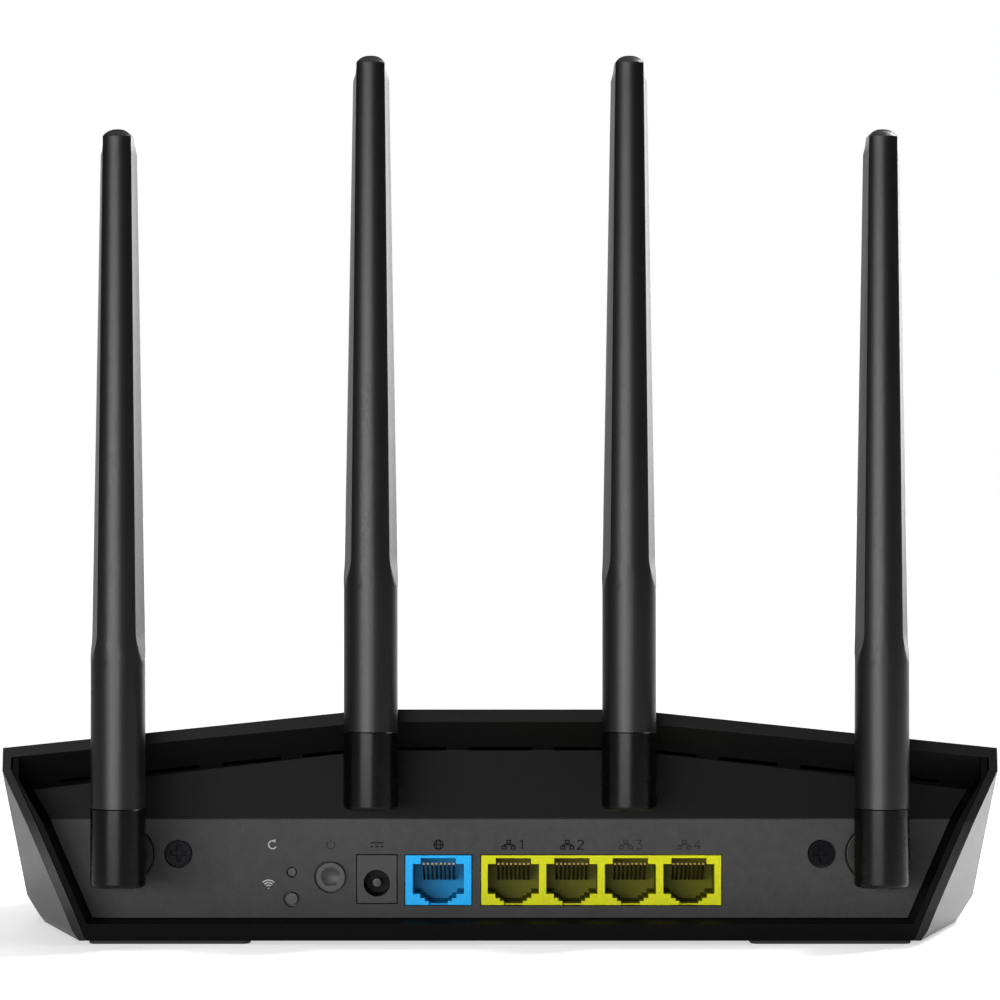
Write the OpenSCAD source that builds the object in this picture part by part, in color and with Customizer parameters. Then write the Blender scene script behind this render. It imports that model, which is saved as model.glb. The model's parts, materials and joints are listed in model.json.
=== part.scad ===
// Wireless router with four folding antennas.
// +X runs along the connector panel, -Y is the connector side, +Z is up.
// The origin is on the surface it stands on, under the middle of its bounding box.

/* [Body] */
// Width of the casing
body_w = 235; // [228:0.1:290]
// Depth of the casing, from the connector rim to the front edge
body_d = 134; // [124:0.1:170]
// Height of the roof at the connector rim
rim_z = 55.2; // [54:0.1:68]
// Height of the roof at the two sides of the connector rim
rim_side_z = 46.2; // [44:0.1:48]
// How far the roof falls from the rim to the front edge
roof_fall = 18; // [8:0.5:19]
// Width of the level strip of the roof at the rim
strip_rear_w = 60; // [40:1:90]
// Width of the same strip at the front edge
strip_front_w = 120; // [70:1:160]
// Height of the underside above the surface it stands on
belly_z = 0.9; // [0.6:0.1:1.6]

/* [Walls] */
// Wall of the top cover
cover_wall = 2; // [1.6:0.1:2.4]
// Wall of the bottom case
case_wall = 1.5; // [1.2:0.1:1.8]
// Floor of the bottom case
floor_wall = 2; // [1.6:0.1:2.4]
// Gap between shells that fit into each other
shell_gap = 0.15; // [0.1:0.01:0.25]
// Height of the bottom case's side walls
case_h = 15; // [12:0.5:18]

/* [Connector panel] */
// Depth of the recess that holds the connector panel
recess_d = 14; // [11:0.1:18]
// Height of the panel's upper edge in the middle
panel_top_z = 45; // [44:0.1:46]
// Height of the crease between the panel's two fields
crease_z = 28.9; // [26:0.1:32]
// Height of the recess floor
recess_floor_z = 4.9; // [4.2:0.1:6]
// Thickness of the panel
panel_t = 2; // [1.5:0.1:2.5]
// Step at the crease
crease_step = 0.3; // [0.1:0.05:0.5]

/* [Connectors] */
// Distance between neighbouring network sockets
port_pitch = 13.97; // [13.9:0.01:14.1]
// Number of network sockets in the ganged block
port_count = 4; // [2:1:4]
// Middle of the first socket of the block
port_first_x = 3.2; // [2:0.1:5]
// Middle of the single network socket
wan_x = -14.7; // [-16:0.1:-13.5]
// Depth of the socket housings
port_d = 21; // [18:0.5:24]
// Middle of the power inlet
inlet_x = -29.4; // [-30:0.1:-29]
// Middle of the power button
power_x = -40.4; // [-42:0.1:-39]
// Middle of the pairing and reset buttons
small_button_x = -49.7; // [-52:0.1:-48]

/* [Antennas] */
// Distance of the outer antennas from the casing's sides
outer_inset = 28.3; // [26:0.1:34]
// Distance of the inner antennas from the middle
inner_x = 30.3; // [26:0.1:36]
// Height of the outer antennas' swivels
outer_z = 20.3; // [18:0.1:22]
// Height of the inner antennas' swivels
inner_z = 38; // [36:0.1:38]
// How far the outer antennas stand behind the rim
outer_offset = 8; // [7:0.5:12]
// How far the inner antennas stand behind the rim
inner_offset = 3; // [3:0.5:12]
// Length of an antenna
antenna_len = 177; // [140:0.5:220]
// Diameter of the round part of an antenna
antenna_dia = 12.95; // [12.4:0.05:13.6]
// Length of the sleeve at an antenna's foot
sleeve_len = 18.4; // [15.2:0.1:22.4]
// Height of the tilt pin above the sleeve's lower end
pivot_rise = 5.9; // [5.6:0.1:7]
// Length of the round part of an antenna, with its sleeve
round_len = 51.6; // [40:0.1:70]
// Length over which the round part turns into the blade
blend_len = 8; // [4:0.5:10]
// How much narrower the blade's foot is than the round part
blade_step = 0.6; // [0.4:0.1:1.6]
// Width of the blade under its tip
blade_tip_w = 8.5; // [7.6:0.1:9]
// Diameter of the outer swivels' round face
swivel_dia = 13; // [12:0.1:13.4]
// Diameter of the inner swivels' round face
inner_swivel_dia = 11.2; // [10.8:0.1:13.4]
// Diameter of the tilt pin
tilt_pin_dia = 3; // [2.4:0.1:3.7]
// Running clearance of shafts and pins on the radius
run_gap = 0.05; // [0.02:0.01:0.1]

/* [Inside] */
// Thickness of the circuit board
board_t = 1.6; // [1.2:0.1:2]
// Height of the circuit board's upper side
board_top_z = 8.1; // [7.8:0.1:8.6]
// Distance of the circuit board from the casing's sides
board_inset = 33.5; // [32:0.5:40]
// Distance of the circuit board from the front edge
board_front = 13; // [12.5:0.5:14]

/* [Hidden] */
$fn = 64;
BIG = 600;
FIT = 0.01;

// The rim plane, and the places that follow from it.
antenna_r = antenna_dia / 2;
rim_y = -(body_d - max(outer_offset, inner_offset) - antenna_r) / 2;
half_w = body_w / 2;
outer_x = half_w - outer_inset;
board_w = body_w - 2 * board_inset;
front_y = rim_y + body_d;
panel_y = rim_y + recess_d;
panel_back_y = panel_y + panel_t;

// The connector side: the upper part leans forwards, the foot leans under.
rim_crease_z = 28.7;
rim_foot_z = 9.1;
rim_lean = 13;
foot_lean = 7;
rim_top_y = rim_y + (rim_z - rim_crease_z) * tan(rim_lean);
rim_side_y = rim_y + (rim_side_z - rim_crease_z) * tan(rim_lean);

// How far the cut-off rear corners stand in from the body's side.
corner_crease_in = 6;
corner_foot_in = 14.4;
corner_len = 55;
corner_end_z = 6.7;
corner_bevel_z = 3.7;
corner_bevel_in = 16.6;
corner_under_in = 18.6;
side_foot_in = 5.5;
front_corner_in = 30;
front_corner_len = 36;
front_edge_z = 16;
front_top_in = 10;
front_foot_in = 8;
roof_front_z = rim_z - roof_fall;

// A plane is a point on it and its outward unit normal.
function unit(v) = v / norm(v);
function plane(a, b, c) = [a, unit(cross(b - a, c - a))];
function flip_x(v) = [-v[0], v[1], v[2]];
function mirrored(p) = [flip_x(p[0]), flip_x(p[1])];
function moved(p, distance) = [p[0] + p[1] * distance, p[1]];

roof_plane = [[0, rim_top_y, rim_z], unit([0, roof_fall, front_y - rim_top_y])];
wing_plane = plane(
    [strip_rear_w / 2, rim_top_y, rim_z],
    [half_w, rim_side_y, rim_side_z],
    [strip_front_w / 2, front_y, roof_front_z]);
rim_upper_plane = [[0, rim_y, rim_crease_z], [0, -cos(rim_lean), sin(rim_lean)]];
rim_foot_plane = [[0, rim_y, rim_foot_z], [0, -cos(foot_lean), -sin(foot_lean)]];
corner_plane = plane(
    [half_w - corner_foot_in, rim_y, rim_foot_z],
    [half_w, rim_y + corner_len, corner_end_z],
    [half_w - corner_crease_in, rim_y, rim_crease_z]);
corner_bevel_plane = plane(
    [half_w - corner_bevel_in, rim_y, corner_bevel_z],
    [half_w - corner_under_in, rim_y, belly_z],
    [half_w - 3, rim_y + corner_len - 5, corner_bevel_z - 1]);
side_foot_plane = plane(
    [half_w, rim_y, corner_end_z],
    [half_w - side_foot_in, rim_y, belly_z],
    [half_w, front_y, corner_end_z]);
front_plane = plane(
    [0, front_y, front_edge_z],
    [0, front_y - front_top_in, roof_front_z],
    [1, front_y, front_edge_z]);
front_foot_plane = plane(
    [0, front_y, front_edge_z],
    [1, front_y, front_edge_z],
    [0, front_y - front_foot_in, belly_z]);
front_corner_plane = plane(
    [half_w, front_y - front_corner_len, 0],
    [half_w - front_corner_in, front_y, 0],
    [half_w, front_y - front_corner_len, 1]);

roof_planes = [roof_plane, wing_plane, mirrored(wing_plane)];
rim_planes = [rim_upper_plane, rim_foot_plane, corner_bevel_plane, mirrored(corner_bevel_plane)];
wall_planes = [
    corner_plane, mirrored(corner_plane), side_foot_plane, mirrored(side_foot_plane),
    front_plane, front_foot_plane, front_corner_plane, mirrored(front_corner_plane)
];

// The recess: its outline on one side, from its floor upwards, and its sloping ceiling.
rim_band = 3.9;
recess_side = [
    [half_w - 20.1, recess_floor_z],
    [half_w - corner_foot_in - rim_band, rim_foot_z],
    [half_w - corner_crease_in - rim_band, rim_crease_z],
    [half_w - rim_band, 38.8],
    [half_w - rim_band, rim_z]
];
ceiling_drop = 2.9;
ceiling_t = 1.8;
ceiling_plane = plane(
    [0, rim_top_y - 0.6, rim_z - ceiling_drop],
    [1, rim_top_y - 0.6, rim_z - ceiling_drop],
    [0, panel_y, panel_top_z]);
ceiling_wing_plane = plane(
    [strip_rear_w / 2, rim_top_y - 0.6, rim_z - ceiling_drop],
    [half_w - 3.3, rim_side_y - 0.4, rim_side_z - 2.1],
    [strip_rear_w / 2, panel_y, panel_top_z]);
ceiling_planes = [ceiling_plane, ceiling_wing_plane, mirrored(ceiling_wing_plane)];

// Vent slits between the ceiling and the panel.
slit_h = 0.9;
slit_len = 14;
slit_step = 19.3;
MIDDLE_SLITS = [[-18.6, 11.5], [0, 15], [18.6, 11.5]];
slit_count = 4;
wing_slope = atan2(rim_z - rim_side_z, half_w - strip_rear_w / 2);

// Connectors.
port_z = board_top_z;
port_h = 11.9;
port_proud = 0.3;
port_cavity_d = 14;
wan_w = 15.8;
opening_gap = 0.2;
inlet_w = 9.5;
inlet_h = 11.5;
inlet_hole_r = 3.15;
inlet_z = 13.3;
inlet_hole_d = 10;
inlet_pin_r = 1;
inlet_pin_y = 1.6;
inlet_root_r = 0.8;
inlet_root_y = 12;
inlet_rise = 0.45;
inlet_d = 14;
power_z = 14.9;
power_r = 3.4;
power_hole_r = 3.95;
power_travel = 2;
pairing_z = 9.6;
pairing_r = 1.45;
pairing_hole_r = 2.05;
reset_z = 15.9;
reset_r = 1;
reset_hole_r = 1.3;
board_y = panel_y + 5;
board_d = front_y - board_front - board_y;
screw_x = outer_x - 12.4;
screw_z = 20.35;
screw_recess_r = 3.4;
screw_head_r = 3;
screw_shank_r = 1.3;

// Antennas.
// Each antenna: place along X, height, distance behind the rim, radius of its swivel's face.
ANTENNAS = [
    [-outer_x, outer_z, outer_offset, swivel_dia / 2],
    [-inner_x, inner_z, inner_offset, inner_swivel_dia / 2],
    [inner_x, inner_z, inner_offset, inner_swivel_dia / 2],
    [outer_x, outer_z, outer_offset, swivel_dia / 2]
];
swivel_gap = 0.4;
shaft_r = 5;
shaft_len = 7;
boss_r = 7.9;
groove_r = 4.2;
clip_t = 1.4;
shaft_end = 3;
wire_bore_r = 1.5;
tongue_w = 5;
tongue_r = 4;
tongue_gap = 0.25;
sleeve_bevel = 1;
spigot_r = 4.4;
spigot_len = 5;
aerial_bore_r = 2.4;
aerial_bore_len = 120;
lead_r = 0.65;
COAX_X = [-54, -26, 24, 56];
coax_y = 54;

// Fasteners and stand-offs.
case_post_x = half_w - 20.5;
front_post_x = half_w - 26.5;
board_post_x = board_w / 2 - 5;
CASE_POSTS = [[-case_post_x, 38], [case_post_x, 38], [-front_post_x, 96], [front_post_x, 96]];
BOARD_POSTS = [[-board_post_x, 32], [board_post_x, 32], [-board_post_x, 104], [board_post_x, 104]];
post_r = 3.6;
pilot_r = 1.25;
case_post_top = 9;
case_head_r = 3;
case_recess_r = 3.3;
foot_w = 38;
foot_d = 10;
foot_sink = 0.5;
foot_x = half_w - 39.4;
FEET_Y = [2.5, 104];
label_w = 70;
label_d = 30;
label_t = 0.3;
label_y = 96;

// Indicator strip at the front.
strip_w = 46;
strip_h = 2.4;
strip_z = 24;
led_count = 5;

// --- Helpers ---------------------------------------------------------------

// Everything on the outer side of a plane.
module beyond(p) {
    n = p[1];
    translate(p[0]) rotate([0, acos(n[2]), atan2(n[1], n[0])]) {
        translate([-BIG / 2, -BIG / 2, 0]) cube(BIG);
    }
}

module box(low, high) {
    translate(low) cube(high - low);
}

// Everything under the given planes.
module under(planes, offset_by) {
    difference() {
        box([-BIG / 4, -BIG / 4, -BIG / 4], [BIG / 4, BIG / 4, BIG / 4]);
        for (p = planes) beyond(moved(p, offset_by));
    }
}

// The casing's outer form.
module body_form() {
    difference() {
        box([-half_w, rim_y, belly_z], [half_w, front_y, rim_z + 1]);
        for (p = concat(roof_planes, wall_planes, rim_planes)) beyond(p);
    }
}

// The casing's form, inset by a wall, and open at the connector side and underneath.
module open_form(inset) {
    difference() {
        box([-half_w + inset, rim_y - 5, -5], [half_w - inset, front_y - inset, rim_z + 1]);
        for (p = concat(roof_planes, wall_planes)) beyond(moved(p, -inset));
    }
}

// An outline in the X-Z plane, drawn out along Y.
module along_y(y0, y1) {
    translate([0, y1, 0]) rotate([90, 0, 0]) linear_extrude(y1 - y0) children();
}

// A cylinder along Y.
module rod_y(x, z, y0, y1, r) {
    translate([x, y1, z]) rotate([90, 0, 0]) cylinder(r = r, h = y1 - y0);
}

// The outline of the recess, widened by a wall.
module recess_outline(grow) {
    right = [for (p = recess_side) [p[0] + grow, p[1]]];
    left = [for (i = [len(right) - 1:-1:0]) [-right[i][0], right[i][1]]];
    polygon(concat(right, left));
}

// The hollow that the recess takes out of the casing, with everything behind it.
module recess_hollow() {
    along_y(rim_y - 5, panel_back_y + 0.05) recess_outline(0);
}

// The vent slits, as solids to cut away.
module slits() {
    for (slit = MIDDLE_SLITS) {
        box([slit[0] - slit[1] / 2, panel_y - 4, panel_top_z],
            [slit[0] + slit[1] / 2, panel_back_y + 1, panel_top_z + slit_h]);
    }
    for (side = [-1, 1], i = [0:slit_count - 1]) {
        x = strip_rear_w / 2 + 3 + i * slit_step;
        z = panel_top_z - 3 * tan(wing_slope) - i * slit_step * tan(wing_slope);
        translate([side * x, 0, z]) rotate([0, side * wing_slope, 0]) {
            box([side > 0 ? 0 : -slit_len, panel_y - 4, 0],
                [side > 0 ? slit_len : 0, panel_back_y + 1, slit_h]);
        }
    }
}

// A plate with rounded corners, lying flat.
module rounded_plate(w, d, t, r) {
    linear_extrude(t) {
        difference() {
            square([w, d], center = true);
            for (sx = [-1, 1], sy = [-1, 1]) {
                translate([sx * w / 2, sy * d / 2]) difference() {
                    square(2 * r, center = true);
                    translate([-sx * r, -sy * r]) circle(r);
                }
            }
        }
    }
}

// --- Casing ----------------------------------------------------------------

roof_vent_count = 9;
roof_vent_step = 6.5;
roof_vent_x = 62;
roof_vent_y = 26;
roof_vent_turn = 24;
roof_vent_len = 26;
roof_vent_w = 1.8;

module top_cover() {
    color("#1b1b1c") difference() {
        union() {
            difference() {
                body_form();
                open_form(cover_wall);
            }
            // the sloping ceiling over the connectors
            intersection() {
                body_form();
                under(ceiling_planes, ceiling_t);
                difference() {
                    box([-half_w, rim_y - 1, recess_floor_z], [half_w, panel_y - shell_gap, rim_z]);
                    under(ceiling_planes, 0);
                }
            }
            // screw posts
            intersection() {
                open_form(cover_wall - 0.5);
                for (p = CASE_POSTS) {
                    translate([p[0], rim_y + p[1], case_post_top + shell_gap]) {
                        cylinder(r = post_r, h = rim_z);
                    }
                }
            }
        }
        slits();
        for (p = CASE_POSTS) {
            translate([p[0], rim_y + p[1], belly_z]) cylinder(r = pilot_r, h = case_post_top + 9);
        }
        // roof vents beside the level strip
        for (side = [-1, 1], i = [0:roof_vent_count - 1]) {
            x = roof_vent_x + i * roof_vent_step * tan(roof_vent_turn);
            translate([side * x, rim_y + roof_vent_y + i * roof_vent_step, 20]) {
                rotate([0, 0, side * roof_vent_turn]) linear_extrude(rim_z) {
                    square([roof_vent_len, roof_vent_w], center = true);
                }
            }
        }
        indicator_slot(0);
    }
}

module indicator_slot(gap) {
    box([-strip_w / 2 + gap, front_y - 20, strip_z - strip_h / 2 + gap],
        [strip_w / 2 - gap, front_y + 5, strip_z + strip_h / 2 - gap]);
}

floor_vent_count = 14;
floor_vent_step = 4.5;
floor_vent_x = 14;
floor_vent_y = 52;
floor_vent_len = 32;
floor_vent_w = 2.2;

module bottom_case() {
    lip = cover_wall + shell_gap;
    color("#161617") difference() {
        union() {
            // tray
            difference() {
                intersection() {
                    body_form();
                    open_form(lip);
                    box([-half_w, rim_y, belly_z], [half_w, front_y, case_h]);
                }
                difference() {
                    open_form(lip + case_wall);
                    box([-half_w, rim_y - 9, -9], [half_w, front_y, belly_z + floor_wall]);
                    box([-half_w, rim_y - 9, -9], [half_w, panel_back_y + 1.2, recess_floor_z]);
                }
            }
            // side walls of the recess
            intersection() {
                body_form();
                open_form(lip);
                under(ceiling_planes, -shell_gap);
                along_y(rim_y, panel_back_y) difference() {
                    recess_outline(case_wall);
                    recess_outline(0);
                }
            }
            // bosses for the case screws, the board screws and the panel screws
            for (p = CASE_POSTS) {
                translate([p[0], rim_y + p[1], belly_z]) cylinder(r = post_r, h = case_post_top - belly_z);
            }
            for (p = BOARD_POSTS) {
                translate([p[0], rim_y + p[1], belly_z]) {
                    cylinder(r = post_r, h = board_top_z - board_t - belly_z);
                }
            }
            for (side = [-1, 1]) {
                box([side * screw_x - 3, panel_back_y + 2.4, belly_z],
                    [side * screw_x + 3, panel_back_y + 9, screw_z + 3.5]);
            }
        }
        difference() {
            recess_hollow();
            box([-half_w, rim_y - 9, -9], [half_w, front_y, recess_floor_z]);
        }
        for (p = CASE_POSTS) {
            translate([p[0], rim_y + p[1], 0]) cylinder(r = screw_shank_r + 0.3, h = 20);
            translate([p[0], rim_y + p[1], 0]) cylinder(r = case_recess_r, h = belly_z + 2.6);
        }
        for (p = BOARD_POSTS) {
            translate([p[0], rim_y + p[1], belly_z + floor_wall]) cylinder(r = pilot_r, h = 20);
        }
        for (side = [-1, 1]) {
            rod_y(side * screw_x, screw_z, panel_back_y, panel_back_y + 10, pilot_r);
        }
        for (side = [-1, 1], y = FEET_Y) {
            translate([side * foot_x, rim_y + y + foot_d / 2, 0]) {
                rounded_plate(foot_w + 0.3, foot_d + 0.3, belly_z + foot_sink, 2.15);
            }
        }
        translate([0, rim_y + label_y, 0]) rounded_plate(label_w + 1, label_d + 1, belly_z + label_t, 2);
        for (side = [-1, 1], i = [0:floor_vent_count - 1]) {
            translate([side * (floor_vent_x + i * floor_vent_step), rim_y + floor_vent_y, -1]) {
                linear_extrude(10) square([floor_vent_w, floor_vent_len], center = true);
            }
        }
    }
}

module panel_outline() {
    intersection() {
        recess_outline(-shell_gap);
        translate([-half_w, recess_floor_z + shell_gap]) square([body_w, rim_z]);
    }
}

module rear_panel() {
    color("#3a3a3b") difference() {
        union() {
            intersection() {
                along_y(panel_y, panel_back_y) panel_outline();
                under(ceiling_planes, 1.8);
                // the upper field is set back, with a bevelled step at the crease
                rotate([90, 0, 90]) translate([0, 0, -half_w]) linear_extrude(body_w) polygon([
                    [panel_y, 0], [panel_y, crease_z - crease_step], [panel_y + crease_step, crease_z],
                    [panel_y + crease_step, rim_z], [panel_back_y, rim_z], [panel_back_y, 0]
                ]);
            }
            for (a = ANTENNAS) rod_y(a[0], a[1], panel_back_y - 0.5, panel_back_y + shaft_len, boss_r);
            for (side = [-1, 1]) rod_y(side * screw_x, screw_z, panel_back_y - 0.5, panel_back_y + 2.3, 4.6);
        }
        for (a = ANTENNAS) {
            rod_y(a[0], a[1], panel_y - 1, panel_back_y, a[3] + swivel_gap);
            rod_y(a[0], a[1], panel_y, panel_back_y + shaft_len + 1, shaft_r + run_gap);
        }
        for (side = [-1, 1]) {
            rod_y(side * screw_x, screw_z, panel_y - 1, panel_back_y + 1.1, screw_recess_r);
            rod_y(side * screw_x, screw_z, panel_y - 1, panel_back_y + 4, screw_shank_r + 0.2);
        }
        block_low = port_first_x - port_pitch / 2 - 0.7;
        block_high = block_low + port_count * port_pitch + 1.4;
        g = opening_gap;
        box([block_low - g, panel_y - 1, port_z - g],
            [block_high + g, panel_back_y + 1, port_z + port_h + g]);
        box([wan_x - wan_w / 2 - g, panel_y - 1, port_z - g],
            [wan_x + wan_w / 2 + g, panel_back_y + 1, port_z + port_h + g]);
        box([inlet_x - inlet_w / 2 - g, panel_y - 1, port_z + inlet_rise - g],
            [inlet_x + inlet_w / 2 + g, panel_back_y + 1, port_z + inlet_rise + inlet_h + g]);
        rod_y(power_x, power_z, panel_y - 1, panel_back_y + 1, power_hole_r);
        rod_y(small_button_x, pairing_z, panel_y - 1, panel_back_y + 1, pairing_hole_r);
        rod_y(small_button_x, reset_z, panel_y - 1, panel_back_y + 1, reset_hole_r);
        slits();
    }
}

module rubber_feet() {
    color("#222222") for (side = [-1, 1], y = FEET_Y) {
        translate([side * foot_x, rim_y + y + foot_d / 2, 0]) {
            rounded_plate(foot_w, foot_d, belly_z + foot_sink, 2);
        }
    }
}

module rating_label() {
    color("#c9c9c9") translate([0, rim_y + label_y, belly_z + 0.05]) {
        rounded_plate(label_w, label_d, label_t - 0.05, 1.5);
    }
}

// --- Indicators ------------------------------------------------------------

module front_lens() {
    color("#d8dde0") intersection() {
        body_form();
        indicator_slot(0.1);
        box([-half_w, front_y - 12, 0], [half_w, front_y, rim_z]);
    }
}

guide_y = front_y - 16.6;

module light_guide() {
    color("#e6e6e6") {
        box([-strip_w / 2 + 1, guide_y, board_top_z + 2.2], [strip_w / 2 - 1, guide_y + 1.8, strip_z + 1]);
        box([-strip_w / 2 + 1, guide_y, strip_z - 1], [strip_w / 2 - 1, front_y - 12.2, strip_z + 1]);
    }
}

module status_leds() {
    color("#f4f0d0") for (i = [0:led_count - 1]) {
        translate([(i - (led_count - 1) / 2) * 9, guide_y + 0.9, board_top_z]) {
            linear_extrude(1.2) square([3, 1.6], center = true);
        }
    }
}

// --- Circuit board ---------------------------------------------------------

module main_board() {
    color("#1f4d2e") difference() {
        box([-board_w / 2, board_y, board_top_z - board_t], [board_w / 2, board_y + board_d, board_top_z]);
        for (p = BOARD_POSTS) {
            translate([p[0], rim_y + p[1], 0]) cylinder(r = screw_shank_r + 0.3, h = 20);
        }
        for (side = [-1, 1]) {
            box([side * screw_x - 3.6, board_y - 1, 0], [side * screw_x + 3.6, panel_back_y + 9.6, 20]);
        }
    }
}

module chip(x, y, w, d, z, h) {
    translate([x, rim_y + y, z]) linear_extrude(h) square([w, d], center = true);
}

PROCESSOR = [-18, 70];
RADIOS = [[-52, 78], [40, 78]];
MEMORY = [[-18, 92], [4, 92]];
chip_h = 1.3;
pad_t = 0.7;

module processor() {
    color("#202022") chip(PROCESSOR[0], PROCESSOR[1], 19, 19, board_top_z, chip_h);
}

module radio_chips() {
    color("#242426") for (r = RADIOS) chip(r[0], r[1], 10, 10, board_top_z, chip_h);
}

module memory_chips() {
    color("#262628") for (m = MEMORY) chip(m[0], m[1], 13, 8, board_top_z, chip_h);
}

module thermal_pads() {
    color("#8fb7c9") {
        chip(PROCESSOR[0], PROCESSOR[1], 18, 18, board_top_z + chip_h, pad_t);
        for (r = RADIOS) chip(r[0], r[1], 9, 9, board_top_z + chip_h, pad_t);
    }
}

shield_h = 3;

module radio_shields() {
    color("#b9bcc0") for (r = RADIOS) translate([r[0], rim_y + r[1], board_top_z]) difference() {
        linear_extrude(shield_h) square([34, 26], center = true);
        translate([0, 0, -1]) linear_extrude(shield_h + 0.7) square([33.4, 25.4], center = true);
        linear_extrude(shield_h + 1) square([14, 14], center = true);
    }
}

fin_count = 9;
fin_step = 4;
fin_h = 9;
sink_base = 2;

module heat_sink() {
    sink_z = board_top_z + chip_h + pad_t;
    sink_w = fin_count * fin_step - 2;
    color("#a7abb0") translate([PROCESSOR[0] - sink_w / 2, rim_y + PROCESSOR[1] - 13, sink_z]) {
        box([0, 0, 0], [sink_w, 26, sink_base]);
        for (i = [0:fin_count - 1]) {
            box([i * fin_step, 0, sink_base - FIT], [i * fin_step + 1.6, 26, sink_base + fin_h]);
        }
    }
}

// Place and width of each transformer; place, radius and height of each capacitor.
TRANSFORMERS = [[wan_x, 50, 15], [10, 50, 22], [38, 50, 22]];
CAPACITORS = [[-44, 48, 4, 11], [-34, 50, 4, 11], [-62, 50, 3.2, 8], [64, 56, 3.2, 8]];
INDUCTORS = [[-50, 60.5], [-41, 60.5], [66, 68]];

module line_transformers() {
    color("#1d1d1f") for (t = TRANSFORMERS) chip(t[0], t[1], t[2], 12, board_top_z, 6);
}

module capacitors() {
    color("#39424f") for (p = CAPACITORS) {
        translate([p[0], rim_y + p[1], board_top_z]) cylinder(r = p[2], h = p[3]);
    }
}

module inductors() {
    color("#4a4643") for (p = INDUCTORS) {
        translate([p[0], rim_y + p[1], board_top_z]) difference() {
            linear_extrude(4) square([7, 7], center = true);
            translate([0, 0, 3.4]) cylinder(r = 2.4, h = 1);
        }
    }
}

// --- Connectors ------------------------------------------------------------

// The opening of a network socket, latch side down, centred on X.
module socket_outline() {
    right = [
        [2.25, port_z + 0.35], [2.25, port_z + 1], [3.2, port_z + 1], [3.2, port_z + 1.7],
        [4.3, port_z + 1.7], [4.3, port_z + 2.7], [6.1, port_z + 2.7], [6.1, port_z + 9.8],
        [4.2, port_z + 9.8], [4.2, port_z + 11.2]
    ];
    left = [for (i = [len(right) - 1:-1:0]) [-right[i][0], right[i][1]]];
    polygon(concat(right, left));
}

contact_count = 8;
contact_pitch = 1.02;
contact_w = 0.45;

// The hollow of one socket, with room at the back for the contacts.
module socket_hollow(x) {
    y0 = panel_y - port_proud;
    translate([x, 0, 0]) {
        along_y(y0 - 1, y0 + port_cavity_d) socket_outline();
        box([-2.25, y0 - 1, port_z - 1], [2.25, y0 + 0.8, port_z + 1]);
    }
}

module socket_block(x0, x1, centres) {
    y0 = panel_y - port_proud;
    difference() {
        box([x0, y0, port_z], [x1, y0 + port_d, port_z + port_h]);
        for (x = centres) socket_hollow(x);
    }
}

// Eight spring wires, sloping down from the roof of the socket to its back wall.
module socket_contacts(x) {
    y0 = panel_y - port_proud;
    top = port_z + 9.8;
    for (i = [0:contact_count - 1]) {
        translate([x + (i - (contact_count - 1) / 2) * contact_pitch - contact_w / 2, 0, 0]) {
            rotate([90, 0, 90]) linear_extrude(contact_w) polygon([
                [y0 + 3.2, top], [y0 + 3.7, top], [y0 + 10.6, top - 4.2], [y0 + port_cavity_d, top - 4.2],
                [y0 + port_cavity_d, top - 4.7], [y0 + 10.3, top - 4.7], [y0 + 3.2, top - 0.45]
            ]);
        }
    }
}

lan_centres = [for (i = [0:port_count - 1]) port_first_x + i * port_pitch];

module wan_port() {
    color("#33b4fa") socket_block(wan_x - wan_w / 2, wan_x + wan_w / 2, [wan_x]);
}

module wan_contacts() {
    color("#c9a24a") socket_contacts(wan_x);
}

module lan_ports() {
    low = port_first_x - port_pitch / 2 - 0.7;
    color("#d4d719") socket_block(low, low + port_count * port_pitch + 1.4, lan_centres);
}

module lan_contacts() {
    color("#c9a24a") for (x = lan_centres) socket_contacts(x);
}

module power_inlet() {
    y0 = panel_y - 0.1;
    color("#2b2b2c") difference() {
        box([inlet_x - inlet_w / 2, y0, port_z + inlet_rise],
            [inlet_x + inlet_w / 2, y0 + inlet_d, port_z + inlet_rise + inlet_h]);
        rod_y(inlet_x, inlet_z, y0 - 1, y0 + inlet_hole_d, inlet_hole_r);
        rod_y(inlet_x, inlet_z, y0 + 5, y0 + inlet_root_y, inlet_root_r);
    }
}

module inlet_pin() {
    y0 = panel_y - 0.1;
    color("#b4b6b8") {
        rod_y(inlet_x, inlet_z, y0 + inlet_pin_y, y0 + inlet_hole_d, inlet_pin_r);
        rod_y(inlet_x, inlet_z, y0 + inlet_hole_d - FIT, y0 + inlet_root_y, inlet_root_r);
    }
}

// --- Buttons and switches --------------------------------------------------

flange_y = panel_back_y + 0.3;

module power_button() {
    color("#505051") difference() {
        union() {
            rod_y(power_x, power_z, panel_y - 1, panel_back_y + 3, power_r);
            rod_y(power_x, power_z, flange_y, flange_y + 0.9, power_hole_r + 0.7);
        }
        // dished face
        translate([power_x, panel_y - 1 - 5.6, power_z]) sphere(r = 6.1);
    }
}

module pairing_button() {
    color("#505051") {
        rod_y(small_button_x, pairing_z, panel_y - 0.2, panel_back_y + 2.4, pairing_r);
        rod_y(small_button_x, pairing_z, flange_y, flange_y + 0.8, pairing_hole_r + 0.3);
    }
}

module reset_button() {
    color("#606061") {
        rod_y(small_button_x, reset_z, panel_y + 0.9, panel_back_y + 2.4, reset_r);
        rod_y(small_button_x, reset_z, flange_y, flange_y + 0.8, reset_hole_r + 0.4);
    }
}

module power_switch() {
    y0 = panel_back_y + 3 + power_travel + 0.4;
    color("#29292b") box([power_x - 4, y0, board_top_z], [power_x + 4, y0 + 9, power_z + 4]);
}

switch_y = panel_back_y + 3;
switch_w = 6;

module pairing_switch() {
    color("#2a2a2c") {
        box([small_button_x - switch_w / 2, switch_y, board_top_z],
            [small_button_x + switch_w / 2, switch_y + 3.8, board_top_z + 3.4]);
    }
}

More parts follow.
